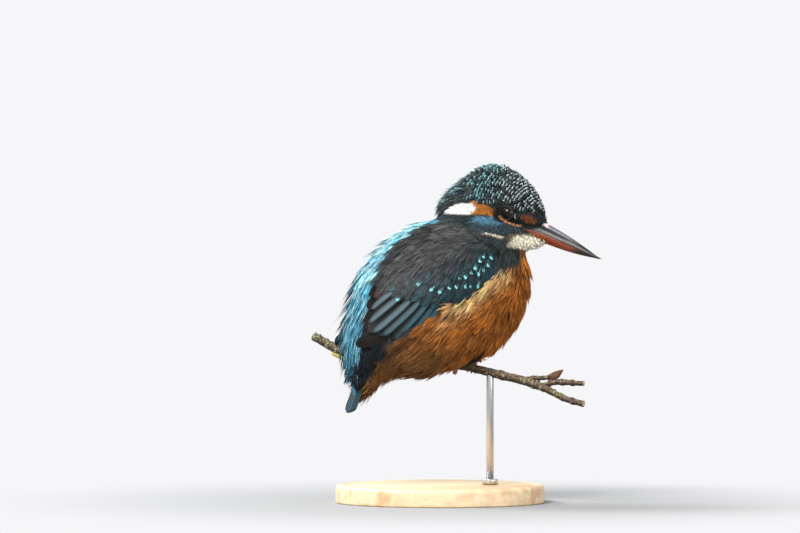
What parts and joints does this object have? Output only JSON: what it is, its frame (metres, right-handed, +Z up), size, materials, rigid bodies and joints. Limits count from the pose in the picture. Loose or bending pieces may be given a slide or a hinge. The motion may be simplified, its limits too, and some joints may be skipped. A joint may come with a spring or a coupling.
{
  "type": "common kingfisher",
  "caption": "Life-size model of a common kingfisher, fluffed and perched on a short cut branch, held over a round wooden base by a rod.",
  "frame": {"origin": "centre of the underside of the display stand's base", "axes": "+Z up; +X to the right as the camera sees it, the way the bird mainly faces; +Y away from the camera"},
  "size_m": [0.1279, 0.092, 0.1481],
  "materials": {
    "breast_feathers": "matte",
    "neck_feathers": "matte",
    "crown_feathers": "satin",
    "covert_feathers": "satin",
    "flight_feathers": "satin",
    "tail_feathers": "satin",
    "eye": "gloss",
    "bill_black": "satin",
    "bill_orange": "satin",
    "leg_skin": "satin",
    "bark": "rough",
    "stand_wood": "satin",
    "stand_metal": "brushed"
  },
  "bodies": {
    "root": {"trunk": "breast_feathers", "neck": "neck_feathers", "head": "crown_feathers", "eye_left": "eye", "eye_right": "eye", "bill_upper": "bill_black", "bill_lower": "bill_orange", "wing_left_coverts": "covert_feathers", "wing_left_secondaries": "flight_feathers", "wing_left_primaries": "flight_feathers", "wing_right_coverts": "covert_feathers", "wing_right_secondaries": "flight_feathers", "wing_right_primaries": "flight_feathers", "tail": "tail_feathers", "leg_left": "leg_skin", "leg_right": "leg_skin", "perch": "bark", "stand_base": "stand_wood", "stand_rod": "stand_metal", "stand_ferrule": "stand_metal"}
  },
  "joints": []
}
